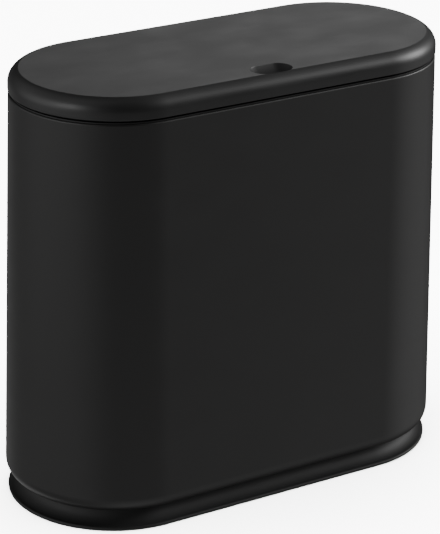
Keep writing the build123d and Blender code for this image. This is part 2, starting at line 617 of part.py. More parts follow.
def lid_cover():
    edge_low = LID_TOP - LID_EDGE_RADIUS * sin(radians(LID_EDGE_TURN))
    edge = JernArc((LID_RADIUS, edge_low), (0, 1), LID_EDGE_RADIUS, LID_EDGE_TURN)
    outline = edge + Polyline(edge @ 1, (0, LID_TOP), (0, LID_LOW), (LID_RADIUS, LID_LOW), edge @ 0)
    cavity = lid_cavity()
    body = around(Plane.XZ * make_face(outline)) - cavity
    body += dish(DISH_BALL + LID_WALL) & cavity
    inner_top = LID_TOP - LID_WALL
    body += [post(x, y, LID_BOSS_RADIUS, LINER_HIGH, inner_top) for x, y in lid_screw_spots()]
    body += [post(x, LATCH_Y, STRIKER_BOSS_RADIUS, LINER_HIGH, inner_top - DISH_DEPTH / 2)
             for x in (-STRIKER_SCREW_X, STRIKER_SCREW_X)]
    body += both_sides(spring_rib())
    body -= dish(DISH_BALL)
    body -= both_sides(hinge_window(LID_INNER_RADIUS - LID_WALL, LID_LOW, LID_LOW + WINDOW_HEIGHT))
    screw = LID_SCREW_RADIUS + THREAD_FIT
    body -= [post(x, y, screw, LINER_HIGH, LINER_HIGH + LID_SCREW_BITE) for x, y in lid_screw_spots()]
    return body - striker_holes(LINER_HIGH, LINER_HIGH + STRIKER_SCREW_BITE)


def striker_holes(low, high):
    radius = STRIKER_SCREW_RADIUS + THREAD_FIT
    return [post(x, LATCH_Y, radius, low, high) for x in (-STRIKER_SCREW_X, STRIKER_SCREW_X)]


def lid_liner():
    """Inner panel of the lid, with the hinge lugs along its back edge."""
    spacing = 2 * HALF_STRAIGHT
    plate = extrude(SlotCenterToCenter(spacing, 2 * LINER_RADIUS), LINER_THICKNESS)
    panel = extrude(SlotCenterToCenter(spacing, 2 * (LINER_RADIUS - LINER_BORDER)), LINER_PANEL_DEPTH)
    body = Pos(0, 0, LINER_LOW) * (plate - panel)
    body -= both_sides(hinge_window(HINGE_Y - LINER_NOTCH_DEPTH, LINER_LOW, LINER_HIGH))
    ring = Pos(HINGE_Y, HINGE_Z) * Circle(KNUCKLE_RADIUS)
    front = HINGE_Y - LUG_DEPTH
    root = Line((front, LINER_LOW), (front, LINER_HIGH))
    profile = Plane.YZ * make_hull(ring.edges() + root.edges())
    body += both_sides(extrude(Pos(lug_start(), 0, 0) * profile, LUG_WIDTH, dir=(1, 0, 0)))
    body -= hinge_bores(PIN_RADIUS + RUNNING_FIT)
    screw = LID_SCREW_RADIUS + THREAD_FIT
    body -= [post(x, y, screw, LINER_LOW, LINER_HIGH) for x, y in lid_screw_spots()]
    return body - striker_holes(LINER_LOW, LINER_HIGH)


def lid_screws():
    return [screw_up(x, y, LINER_LOW, LINER_THICKNESS + LID_SCREW_BITE - THREAD_FIT, LID_SCREW_RADIUS,
                     LID_SCREW_HEAD_RADIUS, LID_SCREW_HEAD) for x, y in lid_screw_spots()]


def striker():
    """Plate under the liner with an arrow-headed stem that enters the latch."""
    low = LINER_LOW - STRIKER_PLATE
    tip = JAW_PIVOT_Z + JAW_HEIGHT - STRIKER_DIP
    shoulder = tip + STRIKER_HEAD_HEIGHT
    body = block((-STRIKER_HALF_WIDTH, STRIKER_HALF_WIDTH),
                 (LATCH_Y - STRIKER_HALF_DEPTH, LATCH_Y + STRIKER_HALF_DEPTH), (low, LINER_LOW))
    body = fillet(body.edges().filter_by(Axis.Z), STRIKER_PLATE)
    arrow = [(STRIKER_STEM_X, low), (STRIKER_STEM_X, shoulder), (STRIKER_HEAD_X, shoulder), (STRIKER_TIP_X, tip)]
    outline = arrow + [(-x, z) for x, z in reversed(arrow)]
    profile = Plane.XZ * make_face(Polyline(*outline, close=True))
    body += extrude(Pos(0, LATCH_Y + STRIKER_STEM_Y, 0) * profile, 2 * STRIKER_STEM_Y, dir=(0, -1, 0))
    body -= [post(x, LATCH_Y, STRIKER_SCREW_HEAD_RADIUS + THREAD_FIT, low, low + STRIKER_SCREW_HEAD)
             for x in (-STRIKER_SCREW_X, STRIKER_SCREW_X)]
    return body - striker_holes(low, LINER_LOW)


def striker_screws():
    web = STRIKER_PLATE - STRIKER_SCREW_HEAD
    bite = web + LINER_THICKNESS + STRIKER_SCREW_BITE - THREAD_FIT
    return [screw_up(x, LATCH_Y, LINER_LOW - web, bite, STRIKER_SCREW_RADIUS,
                     STRIKER_SCREW_HEAD_RADIUS, STRIKER_SCREW_HEAD) for x in (-STRIKER_SCREW_X, STRIKER_SCREW_X)]


def lid_bumpers():
    ring = RIM_RADIUS - BUMPER_INSET
    end = HALF_STRAIGHT + ring
    spots = [(end, 0), (-end, 0), (HALF_STRAIGHT, -ring), (-HALF_STRAIGHT, -ring)]
    return [post(x, y, BUMPER_RADIUS, LINER_LOW - BUMPER_THICKNESS, LINER_LOW) for x, y in spots]


def nodes():
    spring = lid_spring()
    jaw = jaw_right()
    return {
        "outer_sleeve": outer_sleeve(),
        "base_foot": base_foot(),
        "foot_pads": foot_pads(),
        "floor_tray": floor_tray(),
        "base_screws": base_screws(),
        "inner_bucket": inner_bucket(),
        "bucket_handle": bucket_handle(),
        "top_frame": top_frame(),
        "hinge_pins": hinge_pins(),
        "lid_spring_right": spring,
        "lid_spring_left": mirror(spring, about=Plane.YZ),
        "latch_case": latch_case(),
        "latch_case_screws": latch_case_screws(),
        "latch_spring": latch_spring(),
        "latch_carriage": latch_carriage(),
        "jaw_right": jaw,
        "jaw_left": mirror(jaw, about=Plane.YZ),
        "jaw_pins": jaw_pins(),
        "lid_cover": lid_cover(),
        "lid_liner": lid_liner(),
        "lid_screws": lid_screws(),
        "lid_bumpers": lid_bumpers(),
        "striker": striker(),
        "striker_screws": striker_screws(),
    }


os.makedirs("parts", exist_ok=True)
for name, shape in nodes().items():
    solid = Compound(children=shape) if isinstance(shape, list) else shape
    export_step(solid, f"parts/{name}.step")
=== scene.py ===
# %% [markdown]
# # Dressing a slim press-top waste bin
#
# The solids of this bin are finished before Blender starts: sleeve, foot, bucket, top frame, lid
# and push latch are all there, each in its place. This lesson makes the three big pieces that
# everybody sees again as finer meshes with soft edges, gives each material the surface that the
# real one has, and lights the bin like a product photograph.
#
# Everything is in metres. X runs along the bin, the front faces -Y and Z is up.

import bpy
import json
from math import acos, cos, degrees, pi, radians, sin, tan
from mathutils import Matrix, Vector


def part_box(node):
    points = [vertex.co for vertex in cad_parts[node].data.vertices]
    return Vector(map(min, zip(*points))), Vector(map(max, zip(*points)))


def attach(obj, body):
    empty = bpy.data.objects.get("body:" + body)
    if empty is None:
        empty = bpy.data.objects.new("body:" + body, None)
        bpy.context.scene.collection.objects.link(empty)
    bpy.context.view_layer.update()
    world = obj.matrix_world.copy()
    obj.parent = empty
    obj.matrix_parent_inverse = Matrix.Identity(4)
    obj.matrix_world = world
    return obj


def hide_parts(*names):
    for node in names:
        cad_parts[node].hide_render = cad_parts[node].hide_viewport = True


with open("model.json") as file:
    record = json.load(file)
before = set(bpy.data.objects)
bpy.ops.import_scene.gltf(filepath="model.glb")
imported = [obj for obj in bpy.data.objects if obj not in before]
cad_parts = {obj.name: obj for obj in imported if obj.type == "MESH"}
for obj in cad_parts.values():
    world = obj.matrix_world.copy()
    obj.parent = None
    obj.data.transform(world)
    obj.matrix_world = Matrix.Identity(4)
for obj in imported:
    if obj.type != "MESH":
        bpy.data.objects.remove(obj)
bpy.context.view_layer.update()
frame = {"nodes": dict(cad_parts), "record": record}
MM = 0.001

# %% [markdown]
# ## Sizes
#
# A press-top bin is an oval: two half circles joined by straight sides. One number sets where the
# half circles sit, and every ring of every piece is drawn round the same two centres. Heights and
# radii are read from the solids' own boxes where they can be, so that the fine meshes lie exactly
# on them.

# %% Read sizes off the solids
HALF_STRAIGHT = 89.0 * MM
SLEEVE_LOW, SLEEVE_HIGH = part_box("outer_sleeve")
LID_LOW, LID_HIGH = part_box("lid_cover")
FOOT_LOW, FOOT_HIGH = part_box("base_foot")
LID_RADIUS = LID_HIGH.y
LIP_RADIUS = FOOT_HIGH.y
print("sleeve up to", round(SLEEVE_HIGH.z / MM, 1), "mm")
print("lid", round((LID_HIGH.z - LID_LOW.z) / MM, 1), "mm deep")

# %% [markdown]
# ## A section with soft corners
#
# No moulding and no folded sheet has a truly sharp corner, and the thin lines of light along the
# corners are what make a dark object readable. A bevel modifier could round them, but it rounds
# every edge alike. So each section is written as corners with a radius each, and a helper turns
# every corner into a small arc. Beside each arc it leaves a short flat, which keeps the shading of
# the flat faces flat.

# %% Turn corners with radii into a smooth outline
FLAT = 0.25 * MM


def softened(corners, turn=9):
    """Outline through (radius, height, corner radius), with an arc step every turn degrees."""
    outline = []
    count = len(corners)
    for number, (r, z, soft) in enumerate(corners):
        here = Vector((r, z))
        if soft == 0:
            outline.append(here)
            continue
        before = (Vector(corners[number - 1][:2]) - here).normalized()
        after = (Vector(corners[(number + 1) % count][:2]) - here).normalized()
        inside = acos(max(-1, min(1, before.dot(after))))
        reach = soft / tan(inside / 2)
        middle = here + (before + after).normalized() * (soft / sin(inside / 2))
        start = here + before * reach
        end = here + after * reach
        steps = max(2, round(degrees(pi - inside) / turn))
        outline.append(start + before * FLAT)
        for step in range(steps + 1):
            share = step / steps
            arm = (start - middle).slerp(end - middle, share)
            outline.append(middle + arm.normalized() * soft)
        outline.append(end + after * FLAT)
    return outline


square = softened([(0, 0, MM), (10 * MM, 0, MM), (10 * MM, 10 * MM, MM), (0, 10 * MM, MM)])
print("a square with four soft corners takes", len(square), "points")

# %% [markdown]
# ## Carry a section round the oval
#
# A sweep along a curve would work, but the two half circles and two straight sides are so simple
# that rings of points are quicker and exact. Each outline point becomes one ring. Neighbouring
# rings are joined with quads. A closed outline makes a wall, and an open one is closed with a flat
# face at both ends.

# %% Build a ring of points, and a piece from rings
STEPS = 64


def ring(radius, height):
    """One oval ring, anticlockwise seen from above."""
    points = []
    for side, start in ((1, -90), (-1, 90)):
        for step in range(STEPS + 1):
            angle = radians(start + 180 * step / STEPS)
            points.append((side * HALF_STRAIGHT + radius * cos(angle), radius * sin(angle), height))
    return points


def new_piece(name, points, faces):
    mesh = bpy.data.meshes.new(name)
    mesh.from_pydata(points, [], faces)
    mesh.update()
    piece = bpy.data.objects.new(name, mesh)
    bpy.context.scene.collection.objects.link(piece)
    return piece


def oval(name, outline, capped=False):
    """A piece swept round the oval. A capped one gets a flat face at both ends."""
    points = [point for r, z in outline for point in ring(r, z)]
    around = 2 * (STEPS + 1)
    rows = len(outline) if not capped else len(outline) - 1
    faces = []
    for row in range(rows):
        low = row * around
        high = (row + 1) % len(outline) * around
        for step in range(around):
            beside = (step + 1) % around
            faces.append((low + step, low + beside, high + beside, high + step))
    if capped:
        faces.append(tuple(reversed(range(around))))
        faces.append(tuple(range((len(outline) - 1) * around, len(outline) * around)))
    return new_piece(name, points, faces)


print("one ring has", len(ring(LID_RADIUS, 0)), "points")

# %% [markdown]
# ## Cutting and joining
#
# The thumb dish and the hinge windows are cut with Blender's exact boolean, as a milling cutter
# would do it, and the ribs are joined on with it. The result is stored as a plain mesh. Edges that
# turn more than a set angle are marked sharp. That angle is small on the lid, which keeps its fine
# crease crisp while the arcs stay smooth.

# %% Helpers that cut, join and set the shading
def settled(piece):
    """Store a piece with its modifiers applied."""
    drawn = piece.evaluated_get(bpy.context.evaluated_depsgraph_get())
    old = piece.data
    piece.data = bpy.data.meshes.new_from_object(drawn)
    piece.modifiers.clear()
    bpy.data.meshes.remove(old)
    return piece


def carve(piece, tool, how="DIFFERENCE"):
    """Cut a piece with a tool, or join them, and throw the tool away."""
    cut = piece.modifiers.new(how.lower(), "BOOLEAN")
    cut.operation = how
    cut.solver = "EXACT"
    cut.object = tool
    settled(piece)
    bpy.data.objects.remove(tool)
    return piece


def shade(piece, angle):
    """Shade smoothly, apart from edges that turn more than an angle in degrees."""
    piece.data.shade_smooth()
    piece.data.set_sharp_from_angle(angle=radians(angle))
    return piece


def brick(name, low, high):
    """A box between two corners."""
    spans = list(zip(low, high))
    points = [(x, y, z) for x in spans[0] for y in spans[1] for z in spans[2]]
    faces = [(0, 1, 3, 2), (4, 6, 7, 5), (0, 4, 5, 1), (2, 3, 7, 6), (0, 2, 6, 4), (1, 5, 7, 3)]
    return new_piece(name, points, faces)


def drum(name, x, y, radius, low, high, steps=48):
    """An upright cylinder."""
    turns = [2 * pi * step / steps for step in range(steps)]
    points = [(x + radius * cos(turn), y + radius * sin(turn), z) for z in (low, high) for turn in turns]
    faces = []
    for step in range(steps):
        beside = (step + 1) % steps
        faces.append((step, beside, steps + beside, steps + step))
    faces.append(tuple(reversed(range(steps))))
    faces.append(tuple(range(steps, 2 * steps)))
    return new_piece(name, points, faces)


print("tools ready: carve, brick, drum")

# %% [markdown]
# ## The sleeve
#
# The body is one sheet of steel, rolled into an oval that widens a little towards the foot. At the
# top the sheet is folded in, which leaves a rounded rim that catches a thin line of light. At the
# bottom it turns in over the foot on a radius of 11 mm. A thin surface with a solidify modifier
# would give the wall, but not the fold, so one closed section holds all of this.

# %% Sweep the sleeve
SHEET = 1.2 * MM
RIM_RADIUS = 71.0 * MM
RIM_ROUND = 1.25 * MM
HEM_DEPTH = 8.0 * MM
HEM_ROUND = 0.9 * MM
FLANGE_RADIUS = 59.0 * MM
CUT_EDGE = 0.3 * MM
BOTTOM_ROUND = 11.0 * MM
WIDER_AT_FOOT = 5.8 * MM
SHARP_FROM = 30


def sleeve_radius(height):
    return RIM_RADIUS + WIDER_AT_FOOT * (SLEEVE_HIGH.z - height) / (SLEEVE_HIGH.z - SLEEVE_LOW.z)


def make_sleeve():
    low = SLEEVE_LOW.z
    high = SLEEVE_HIGH.z
    hem = high - HEM_DEPTH
    outline = softened([
        (FLANGE_RADIUS, low, CUT_EDGE),
        (sleeve_radius(low), low, BOTTOM_ROUND),
        (RIM_RADIUS, high, RIM_ROUND),
        (RIM_RADIUS - 2 * SHEET, high, HEM_ROUND),
        (RIM_RADIUS - 2 * SHEET, hem, CUT_EDGE),
        (sleeve_radius(hem) - SHEET, hem, 0),
        (sleeve_radius(low + SHEET) - SHEET, low + SHEET, BOTTOM_ROUND - SHEET),
        (FLANGE_RADIUS, low + SHEET, CUT_EDGE),
    ])
    return shade(oval("sleeve_shell", outline), SHARP_FROM)


sleeve = make_sleeve()
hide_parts("outer_sleeve")
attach(sleeve, "base")
print("sleeve:", len(sleeve.data.polygons), "faces")

# %% [markdown]
# ## The foot
#
# The foot is a separate black moulding. Its neck hides under the turned-in sheet and then flares
# out in a hollow curve to a thin lip. Underneath it is hollow, as mouldings are, with ribs, a boss
# for each pad and a hole for each screw. This mesh stands in for the whole solid, so the underside
# is made again too: a swept block, hollowed, with the ribs and bosses joined in.

# %% Sweep the foot's outside and its hollow
LIP_HEIGHT = 2.2 * MM
LIP_LOW_ROUND = 0.5 * MM
LIP_TOP_ROUND = 0.8 * MM
INSIDE_LIP = 60.0 * MM
NECK_RADIUS = 64.6 * MM
FLARE = 9.0 * MM
FLARE_STEP = 5
PLATE = 2.6 * MM
HOLLOW_MOUTH = 72.0 * MM
HOLLOW_WAIST = 66.0 * MM
HOLLOW_TOP = 61.5 * MM
HOLLOW_SLOPE = 6.4 * MM
PAST_FLOOR = 0.2 * MM
UNDER_PLATE = FOOT_HIGH.z - PLATE


def foot_block():
    lip_top = FOOT_LOW.z + LIP_HEIGHT
    middle = Vector((NECK_RADIUS + FLARE, lip_top + FLARE))
    flare = [middle + FLARE * Vector((-cos(radians(angle)), -sin(radians(angle))))
             for angle in range(90, -1, -FLARE_STEP)]
    lip = softened([
        (INSIDE_LIP, FOOT_LOW.z, 0),
        (LIP_RADIUS, FOOT_LOW.z, LIP_LOW_ROUND),
        (LIP_RADIUS, lip_top, LIP_TOP_ROUND),
        (flare[0].x, lip_top, 0),
    ])[1:-1]
    return oval("foot_moulding", lip + flare + [Vector((NECK_RADIUS, FOOT_HIGH.z))], capped=True)


def foot_hollow(wider=0):
    outline = [
        Vector((HOLLOW_MOUTH + wider, FOOT_LOW.z - PAST_FLOOR)),
        Vector((HOLLOW_MOUTH + wider, FOOT_LOW.z)),
        Vector((HOLLOW_WAIST + wider, UNDER_PLATE - HOLLOW_SLOPE)),
        Vector((HOLLOW_TOP + wider, UNDER_PLATE)),
    ]
    return oval("hollow", outline, capped=True)


print("foot", round(FOOT_HIGH.z / MM, 1), "mm high, hollow up to", round(UNDER_PLATE / MM, 1), "mm")

# %% [markdown]
# ## Ribs, bosses and holes
#
# Ribs stiffen the plate and stop short of the floor. Each one could be drawn to the hollow's own
# outline, but two faces that only touch are what makes a boolean fail. So each rib is a plain brick
# that is first trimmed by a hollow a little wider than the foot's own, and it sinks into the wall.

# %% Join the ribs and bosses, cut the pockets and holes
RIB = 2.0 * MM
RIB_OFF_FLOOR = 2.0 * MM
RIB_REACH = 0.2
CROSS_RIBS = (-72 * MM, 0, 72 * MM)
LONG_RIBS = (-20 * MM, 20 * MM)
SINK = 0.1 * MM
SINK_IN_WALL = 0.3 * MM
PAD_SPOTS = [(x * MM, y * MM) for x in (-104, 104) for y in (-44, 44)]
PAD_BOSS = 9.1 * MM
PAD_POCKET = 7.1 * MM
POCKET_DEPTH = 1.6 * MM
SCREWS_IN_MM = ((130, 0), (-130, 0), (45, 40), (45, -40), (-45, 40), (-45, -40))
SCREW_SPOTS = [(x * MM, y * MM) for x, y in SCREWS_IN_MM]
SCREW_HOLE = 1.95 * MM


def foot_ribs():
    low = FOOT_LOW.z + RIB_OFF_FLOOR
    high = UNDER_PLATE + SINK
    half = RIB / 2
    ribs = [brick("rib", (x - half, -LIP_RADIUS, low), (x + half, LIP_RADIUS, high)) for x in CROSS_RIBS]
    ribs += [brick("rib", (-RIB_REACH, y - half, low), (RIB_REACH, y + half, high)) for y in LONG_RIBS]
    return ribs


def make_foot():
    foot = foot_block()
    carve(foot, foot_hollow())
    for rib in foot_ribs():
        carve(rib, foot_hollow(SINK_IN_WALL), "INTERSECT")
        carve(foot, rib, "UNION")
    for x, y in PAD_SPOTS:
        carve(foot, drum("boss", x, y, PAD_BOSS, FOOT_LOW.z, UNDER_PLATE + SINK), "UNION")
    for x, y in PAD_SPOTS:
        carve(foot, drum("pocket", x, y, PAD_POCKET, FOOT_LOW.z - MM, FOOT_LOW.z + POCKET_DEPTH))
    for x, y in SCREW_SPOTS:
        carve(foot, drum("hole", x, y, SCREW_HOLE, UNDER_PLATE - MM, FOOT_HIGH.z + MM))
    return shade(foot, SHARP_FROM)


foot = make_foot()
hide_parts("base_foot")
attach(foot, "base")
print("foot:", len(foot.data.polygons), "faces")

# %% [markdown]
# ## The lid's shell
#
# The lid's flat top doesn't run smoothly into its rounded edge. The edge is an arc that stops 17
# degrees short of flat, and that leaves a fine crease all the way round, which the light draws as
# a line. A rounded box would lose it, so the section is drawn point by point: skirt, arc, crease.
# A second section, one wall thickness inside, is cut out of it.

# %% Draw the lid's outside and the space in it
EDGE_RADIUS = 10.4 * MM
EDGE_TURN = 73
EDGE_STEP = 5
BEND_STEP = 10
LID_WALL = 2.3 * MM
SKIRT_IN_ROUND = 0.5 * MM
SKIRT_OUT_ROUND = 0.6 * MM
CREASE_ROUND = 1.4 * MM
CREASE_REACH = 2 * MM
CREASE_STEP = 4
CREASE_SHARP_FROM = 14


def pointing(angle):
    """A direction in the section, in degrees upwards from straight out."""
    return Vector((cos(radians(angle)), sin(radians(angle))))


def lid_section():
    centre = Vector((LID_RADIUS - EDGE_RADIUS, LID_HIGH.z - EDGE_RADIUS * sin(radians(EDGE_TURN))))
    edge = [centre + EDGE_RADIUS * pointing(angle) for angle in range(2, EDGE_TURN - 2, EDGE_STEP)]
    skirt = softened([
        (LID_RADIUS - LID_WALL, LID_LOW.z, SKIRT_IN_ROUND),
        (LID_RADIUS, LID_LOW.z, SKIRT_OUT_ROUND),
        (LID_RADIUS, LID_HIGH.z, 0),
    ])[:-1]
    border = centre + EDGE_RADIUS * pointing(EDGE_TURN)
    along = (edge[-1] - border).normalized()
    crease = softened([
        (border + along * CREASE_REACH)[:] + (0,),
        border[:] + (CREASE_ROUND,),
        (border.x - CREASE_REACH, border.y, 0),
    ], CREASE_STEP)[2:-1]
    return skirt + edge + crease


def cavity_section():
    bend = EDGE_RADIUS - LID_WALL
    inner = LID_RADIUS - LID_WALL
    top = LID_HIGH.z - LID_WALL
    points = [Vector((inner, LID_LOW.z))]
    for angle in range(0, 91, BEND_STEP):
        turn = radians(angle)
        points.append(Vector((inner - bend + bend * cos(turn), top - bend + bend * sin(turn))))
    return points


print("lid section:", len(lid_section()), "points outside,", len(cavity_section()), "inside")

# %% [markdown]
# ## The thumb dish
#
# A dish is pressed into the front of the lid, just over the crease, to show where to push. It has
# the shape of a rod with ball ends sunk a few millimetres. The ball's radius follows from the
# dish's width and depth. A larger rod under it keeps the wall's thickness, and the two hinge
# windows are cut out of the back of the skirt.

# %% Make the rod, then the whole lid
DISH_LENGTH = 30.5 * MM
DISH_WIDTH = 18.4 * MM
DISH_DEPTH = 4.3 * MM
DISH_Y = -55.4 * MM
BALL = ((DISH_WIDTH / 2) ** 2 + DISH_DEPTH ** 2) / (2 * DISH_DEPTH)
BALL_STEP = 5
HINGE_SPOTS = (-45 * MM, 45 * MM)
WINDOW_HALF = 13.4 * MM
WINDOW_FROM = 66.6 * MM
WINDOW_PAST_LID = 0.09
WINDOW_HEIGHT = 6.4 * MM
SINK_IN_LID = 0.05 * MM


def dish_rod(name, radius, steps=72):
    """Rod with ball ends along X: rings of points, with a single point at both tips."""
    half = (DISH_LENGTH - DISH_WIDTH) / 2
    z = LID_HIGH.z - DISH_DEPTH + BALL
    rows = [(-half, angle) for angle in range(-90, 1, BALL_STEP)]
    rows += [(half, angle) for angle in range(0, 91, BALL_STEP)]
    points = []
    for x, angle in rows[1:-1]:
        for step in range(steps):
            turn = 2 * pi * step / steps
            out = radius * cos(radians(angle))
            along = x + radius * sin(radians(angle))
            points.append((along, DISH_Y + out * cos(turn), z + out * sin(turn)))
    tip = len(points)
    points += [(-half - radius, DISH_Y, z), (half + radius, DISH_Y, z)]
    faces = []
    for row in range(len(rows) - 3):
        low = row * steps
        high = (row + 1) * steps
        for step in range(steps):
            beside = (step + 1) % steps
            faces.append((low + step, low + beside, high + beside, high + step))
    end = (len(rows) - 3) * steps
    for step in range(steps):
        beside = (step + 1) % steps
        faces.append((tip, beside, step))
        faces.append((tip + 1, end + step, end + beside))
    return new_piece(name, points, faces)


def make_lid():
    inner = cavity_section()
    lid = oval("lid_shell", lid_section(), capped=True)
    carve(lid, oval("cavity", [Vector((inner[0].x, LID_LOW.z - MM))] + inner[1:], capped=True))
    boss = dish_rod("boss", BALL + LID_WALL)
    sunk = [point + Vector((SINK_IN_LID, SINK_IN_LID)) for point in inner]
    carve(boss, oval("cavity", sunk, capped=True), "INTERSECT")
    carve(lid, boss, "UNION")
    carve(lid, dish_rod("dish", BALL))
    for x in HINGE_SPOTS:
        low = (x - WINDOW_HALF, WINDOW_FROM, LID_LOW.z - MM)
        high = (x + WINDOW_HALF, WINDOW_PAST_LID, LID_LOW.z + WINDOW_HEIGHT)
        carve(lid, brick("window", low, high))
    return shade(lid, CREASE_SHARP_FROM)


lid = make_lid()
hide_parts("lid_cover")
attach(lid, "lid")
print("lid:", len(lid.data.polygons), "faces; dish ball", round(BALL / MM, 2), "mm")

# %% [markdown]
# ## Writing a material as sums
#
# A finish is mostly arithmetic: so much grain, less of it where the surface is worn, never above
# one. Wired node by node, the sum is hard to find again. Wrapping a node's output in a small class
# lets the arithmetic be written as Python, and each operation quietly adds one Math node. Every
# other node comes from one method, which sets the node up and then fills its sockets.

# %% Values that can be added and multiplied, and the graph that holds their nodes
class Value:
    """A number, colour or direction that changes over a surface."""

    def __init__(self, graph, socket):
        self.graph = graph
        self.socket = socket

    def maths(self, operation, first, second):
        return self.graph.node("ShaderNodeMath", {"operation": operation}, {0: first, 1: second})

    def __add__(self, other):
        return self.maths("ADD", self, other)

    def __radd__(self, other):
        return self.maths("ADD", other, self)

    def __sub__(self, other):
        return self.maths("SUBTRACT", self, other)

    def __rsub__(self, other):
        return self.maths("SUBTRACT", other, self)

    def __mul__(self, other):
        return self.maths("MULTIPLY", self, other)

    def __rmul__(self, other):
        return self.maths("MULTIPLY", other, self)

    def __pow__(self, other):
        return self.maths("POWER", self, other)


class Graph:
    """The nodes of a material or of the world."""

    def __init__(self, tree):
        self.tree = tree

    def node(self, kind, settings, sockets, output=0):
        """Add a node: its settings first, then the values or links of its sockets."""
        made = self.tree.nodes.new(kind)
        for setting, value in settings.items():
            setattr(made, setting, value)
        for socket, value in sockets.items():
            if isinstance(value, Value):
                self.tree.links.new(value.socket, made.inputs[socket])
            else:
                made.inputs[socket].default_value = value
        return Value(self, made.outputs[output])


print("sums become nodes: + - * **")

# %% [markdown]
# ## What every finish shares
#
# Each finish is one Principled shader. Patterns are laid out by the piece's own coordinates, which
# need no unwrapping and stay put when the piece moves. Noise sizes are given in metres, so that a
# grain of a third of a millimetre is written as just that.

# %% One class for a finish, and three small helpers
class Finish(Graph):
    """One material: a Principled shader and the nodes that feed it."""

    def __init__(self, name, **uniform):
        self.material = bpy.data.materials.new(name)
        self.material.use_nodes = True
        super().__init__(self.material.node_tree)
        self.shader = self.tree.nodes["Principled BSDF"]
        for socket, value in uniform.items():
            self.shader.inputs[socket.replace("_", " ").title()].default_value = value
        self.place = self.node("ShaderNodeTexCoord", {}, {}, "Object")

    def noise(self, size, detail, stretch=(1, 1, 1)):
        """Clouds about size across, in metres, from 0 to 1 with the middle at 0.5."""
        scale = [1 / longer for longer in stretch]
        scaled = self.node("ShaderNodeMapping", {}, {"Vector": self.place, "Scale": scale})
        sockets = {"Vector": scaled, "Scale": 1 / size, "Detail": detail}
        return self.node("ShaderNodeTexNoise", {}, sockets)

    def blend(self, share, first, second):
        """Mix two colours. Sockets 6 and 7 are the Mix node's colours, and output 2 is its colour."""
        return self.node("ShaderNodeMix", {"data_type": "RGBA"}, {"Factor": share, 6: first, 7: second}, 2)

    def feed(self, **sockets):
        for socket, value in sockets.items():
            self.tree.links.new(value.socket, self.shader.inputs[socket.replace("_", " ").title()])

    def bump(self, height, depth):
        """Raise the surface by height times depth, in metres."""
        sockets = {"Height": height, "Distance": depth, "Strength": 1.0}
        self.feed(Normal=self.node("ShaderNodeBump", {}, sockets, "Normal"))


def grey(level, warm=0.0):
    return (level * (1 + warm), level, level * (1 - warm), 1.0)


def limited(value):
    """Keep a value between 0 and 1."""
    value.socket.node.use_clamp = True
    return value


def patches(clouds, contrast, cut):
    """Sharpen clouds into patches: more contrast gives harder borders, a higher cut fewer patches."""
    return limited(clouds * contrast - cut)


print("a warm grey:", *[round(part, 4) for part in grey(0.0105, 0.02)])

# %% [markdown]
# ## Powder coat
#
# The sleeve is powder coated. Melted powder never flows out quite flat: it leaves a faint orange
# peel about a millimetre across, with a finer sparkle of unmelted grains in it. The colour hardly
# changes, so nearly everything that tells the eye "painted steel" is in the roughness and in that
# shallow relief. Hands leave soft patches, wider than they are tall, that are a little duller.
# A photographed texture would need unwrapping and would repeat, so all of it is made of noise.

# %% The sleeve's paint
PAINT_DARK = grey(0.0105, 0.02)
PAINT_LIGHT = grey(0.0145, 0.02)
PEEL_SIZE = 0.9 * MM
POWDER_GRAIN = 0.28 * MM
PEEL_DEPTH = 0.012 * MM


def powder_coat():
    paint = Finish("powder_coat")
    peel = paint.noise(PEEL_SIZE, detail=1.0)
    grain = paint.noise(POWDER_GRAIN, detail=2.0)
    cloud = paint.noise(60 * MM, detail=2.0)
    hands = paint.noise(35 * MM, detail=3.0, stretch=(1, 1, 0.5))
    handled = patches(hands, contrast=2.4, cut=0.9)
    speckle = limited(cloud * 0.6 + grain * 0.4)
    paint.feed(Base_Color=paint.blend(speckle, PAINT_DARK, PAINT_LIGHT))
    paint.feed(Roughness=0.40 + grain * 0.07 + handled * 0.05)
    paint.bump(peel * 0.7 + grain * 0.3, PEEL_DEPTH)
    return paint.material


FINISHES = {"sleeve_paint": powder_coat()}
print("powder coat:", len(FINISHES["sleeve_paint"].node_tree.nodes), "nodes")

# %% [markdown]
# ## The darkened dish
#
# The thumb dish is painted darker than the lid around it: painted shade, standing in for the shade
# that falls into the hollow. It is also made rougher, which makes it duller. Painting a mask by
# hand would tie this to one mesh. Here it is measured instead: a point is in the dish where it lies
# inside an oval round the dish's middle and also below the lid's flat top.

# %% A mask for the dish
DISH_MASK_ALONG = 0.56
DISH_MASK_ACROSS = 0.6
ANY_HEIGHT = 1.0
DISH_MASK_REACH = (DISH_LENGTH * DISH_MASK_ALONG, DISH_WIDTH * DISH_MASK_ACROSS, ANY_HEIGHT)
DISH_MASK_BORDER = 10.0
DISH_MASK_FROM = 0.5 * MM


def in_dish(plastic):
    """1 on the walls of the thumb dish, 0 on the rest of the lid."""
    middle = (0, DISH_Y, LID_HIGH.z)
    away = plastic.node("ShaderNodeVectorMath", {"operation": "SUBTRACT"}, {0: plastic.place, 1: middle})
    share = plastic.node("ShaderNodeVectorMath", {"operation": "DIVIDE"}, {0: away, 1: DISH_MASK_REACH})
    far = plastic.node("ShaderNodeVectorMath", {"operation": "LENGTH"}, {0: share}, "Value")
    height = plastic.node("ShaderNodeSeparateXYZ", {}, {0: away}, "Z")
    return limited(DISH_MASK_BORDER - far * DISH_MASK_BORDER) * limited(height * (-1 / DISH_MASK_FROM))


# Within this oval the dish is painted darker, as painted shade, and made rougher.
print("worn within", *[round(reach / MM, 1) for reach in DISH_MASK_REACH[:2]], "mm of the dish's middle")
